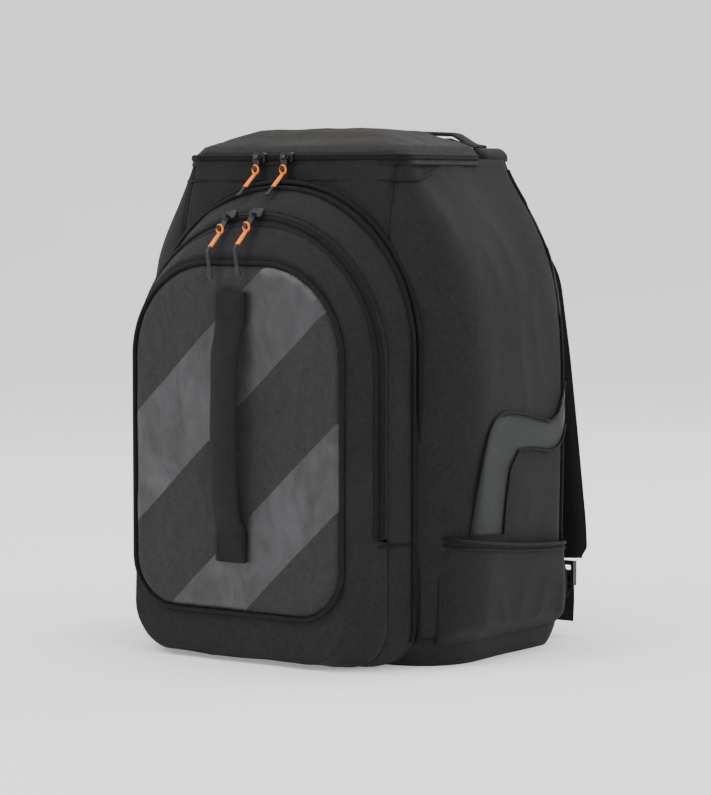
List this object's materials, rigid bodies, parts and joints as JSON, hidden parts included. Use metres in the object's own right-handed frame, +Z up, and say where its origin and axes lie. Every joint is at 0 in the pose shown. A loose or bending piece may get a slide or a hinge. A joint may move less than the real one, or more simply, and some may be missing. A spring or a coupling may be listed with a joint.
{
  "type": "ski boot backpack",
  "caption": "Upright black ski boot backpack with a zipped hinged lid, a zipped front pocket that folds down, side pockets, grab handles and padded straps",
  "frame": {"origin": "middle of the footprint, on the surface the bag stands on", "axes": "+Z up, -Y the front with the pocket, +Y the side with the shoulder straps, X across the bag"},
  "size_m": [0.396, 0.3538, 0.492],
  "materials": {
    "shell_fabric": "matte woven",
    "front_fabric": "matte woven with plain glossy bands",
    "lid_fabric": "matte brushed",
    "inlay_fabric": "satin",
    "piping_fabric": "satin",
    "webbing": "ribbed webbing",
    "strap_fabric": "padded, matte",
    "mesh_fabric": "spacer mesh",
    "zip_tape": "zip tape and coil",
    "dark_metal": "satin",
    "orange_rubber": "satin",
    "black_cord": "matte",
    "board_plastic": "matte",
    "buckle_plastic": "matte"
  },
  "bodies": {
    "bag": {"arch_piping": "piping_fabric", "back_pad_left": "mesh_fabric", "back_pad_right": "mesh_fabric", "back_wall": "shell_fabric", "base_tub": "shell_fabric", "floor_board": "board_plastic", "frame_sheet": "board_plastic", "front_panel_lower": "front_fabric", "front_wall": "shell_fabric", "ladder_lock_left": "buckle_plastic", "ladder_lock_right": "buckle_plastic", "lid_zip_lower": "zip_tape", "lumbar_pad": "mesh_fabric", "panel_piping_lower": "piping_fabric", "pocket_gusset_fixed": "front_fabric", "pocket_tub": "front_fabric", "pocket_zip_back": "zip_tape", "rear_yoke": "shell_fabric", "shoulder_strap_left": "strap_fabric", "shoulder_strap_right": "strap_fabric", "side_inlay_left": "inlay_fabric", "side_inlay_right": "inlay_fabric", "side_pocket_left": "shell_fabric", "side_pocket_right": "shell_fabric", "side_wall_left": "shell_fabric", "side_wall_right": "shell_fabric", "strap_tail_left": "webbing", "strap_tail_right": "webbing", "strap_webbing_left": "webbing", "strap_webbing_right": "webbing", "strap_wing_left": "strap_fabric", "strap_wing_right": "strap_fabric", "top_handle": "webbing"},
    "lid": {"lid_panel": "lid_fabric", "lid_zip_upper": "zip_tape"},
    "pocket_front": {"pocket_front": "front_fabric", "pocket_zip_front": "zip_tape", "front_panel_upper": "front_fabric", "panel_piping_upper": "piping_fabric", "front_grab_handle": "webbing"},
    "lid_slider_left": {"lid_slider_left": "dark_metal"},
    "lid_tab_left": {"lid_pull_tab_left": "dark_metal"},
    "lid_pull_left": {"lid_puller_left": "orange_rubber", "lid_puller_tail_left": "black_cord"},
    "lid_slider_right": {"lid_slider_right": "dark_metal"},
    "lid_tab_right": {"lid_pull_tab_right": "dark_metal"},
    "lid_pull_right": {"lid_puller_right": "orange_rubber", "lid_puller_tail_right": "black_cord"},
    "pocket_slider_left": {"pocket_slider_left": "dark_metal"},
    "pocket_tab_left": {"pocket_pull_tab_left": "dark_metal"},
    "pocket_pull_left": {"pocket_puller_left": "orange_rubber", "pocket_puller_tail_left": "black_cord"},
    "pocket_slider_right": {"pocket_slider_right": "dark_metal"},
    "pocket_tab_right": {"pocket_pull_tab_right": "dark_metal"},
    "pocket_pull_right": {"pocket_puller_right": "orange_rubber", "pocket_puller_tail_right": "black_cord"}
  },
  "joints": [
    {"name": "lid_open", "type": "hinge", "parent": "bag", "child": "lid", "pos_m": [0, 0.0725, 0.4745], "axis": [-1, 0, 0], "range_deg": [0, 95]},
    {"name": "pocket_open", "type": "hinge", "parent": "bag", "child": "pocket_front", "pos_m": [0, -0.1595, 0.088], "axis": [1, 0, 0], "range_deg": [0, 80]},
    {"name": "lid_slider_left_run", "type": "slide", "parent": "bag", "child": "lid_slider_left", "axis": [1, 0, 0], "range_m": [-0.05, 0]},
    {"name": "lid_tab_left_lift", "type": "hinge", "parent": "lid_slider_left", "child": "lid_tab_left", "pos_m": [-0.035, -0.0758, 0.4645], "axis": [-1, 0, 0], "range_deg": [0, 110]},
    {"name": "lid_pull_left_swing", "type": "hinge", "parent": "lid_tab_left", "child": "lid_pull_left", "pos_m": [-0.035, -0.078, 0.4545], "axis": [0, 1, 0], "range_deg": [0, 30]},
    {"name": "lid_slider_right_run", "type": "slide", "parent": "bag", "child": "lid_slider_right", "axis": [1, 0, 0], "range_m": [0, 0.088]},
    {"name": "lid_tab_right_lift", "type": "hinge", "parent": "lid_slider_right", "child": "lid_tab_right", "pos_m": [-0.003, -0.0758, 0.4645], "axis": [-1, 0, 0], "range_deg": [0, 110]},
    {"name": "lid_pull_right_swing", "type": "hinge", "parent": "lid_tab_right", "child": "lid_pull_right", "pos_m": [-0.003, -0.078, 0.4545], "axis": [0, 1, 0], "range_deg": [0, 30]},
    {"name": "pocket_slider_left_run", "type": "hinge", "parent": "pocket_front", "child": "pocket_slider_left", "pos_m": [0, -0.124, 0.268], "axis": [0, 1, 0], "range_deg": [-79, 0]},
    {"name": "pocket_tab_left_hang", "type": "hinge", "parent": "pocket_slider_left", "child": "pocket_tab_left", "pos_m": [-0.02635, -0.1354, 0.41018], "axis": [0, 1, 0], "range_deg": [0, 79]},
    {"name": "pocket_pull_left_swing", "type": "hinge", "parent": "pocket_tab_left", "child": "pocket_pull_left", "pos_m": [-0.02635, -0.14432, 0.39963], "axis": [0, 1, 0], "range_deg": [0, 35]},
    {"name": "pocket_slider_right_run", "type": "hinge", "parent": "pocket_front", "child": "pocket_slider_right", "pos_m": [0, -0.124, 0.268], "axis": [0, 1, 0], "range_deg": [0, 88]},
    {"name": "pocket_tab_right_hang", "type": "hinge", "parent": "pocket_slider_right", "child": "pocket_tab_right", "pos_m": [0.00404, -0.1354, 0.41254], "axis": [0, 1, 0], "range_deg": [-88, 0]},
    {"name": "pocket_pull_right_swing", "type": "hinge", "parent": "pocket_tab_right", "child": "pocket_pull_right", "pos_m": [0.00404, -0.14432, 0.402], "axis": [0, 1, 0], "range_deg": [0, 20]}
  ],
  "couplings": [
    {"joint": "pocket_tab_left_hang", "follows": "pocket_slider_left_run", "ratio": -1},
    {"joint": "pocket_tab_right_hang", "follows": "pocket_slider_right_run", "ratio": -1}
  ]
}
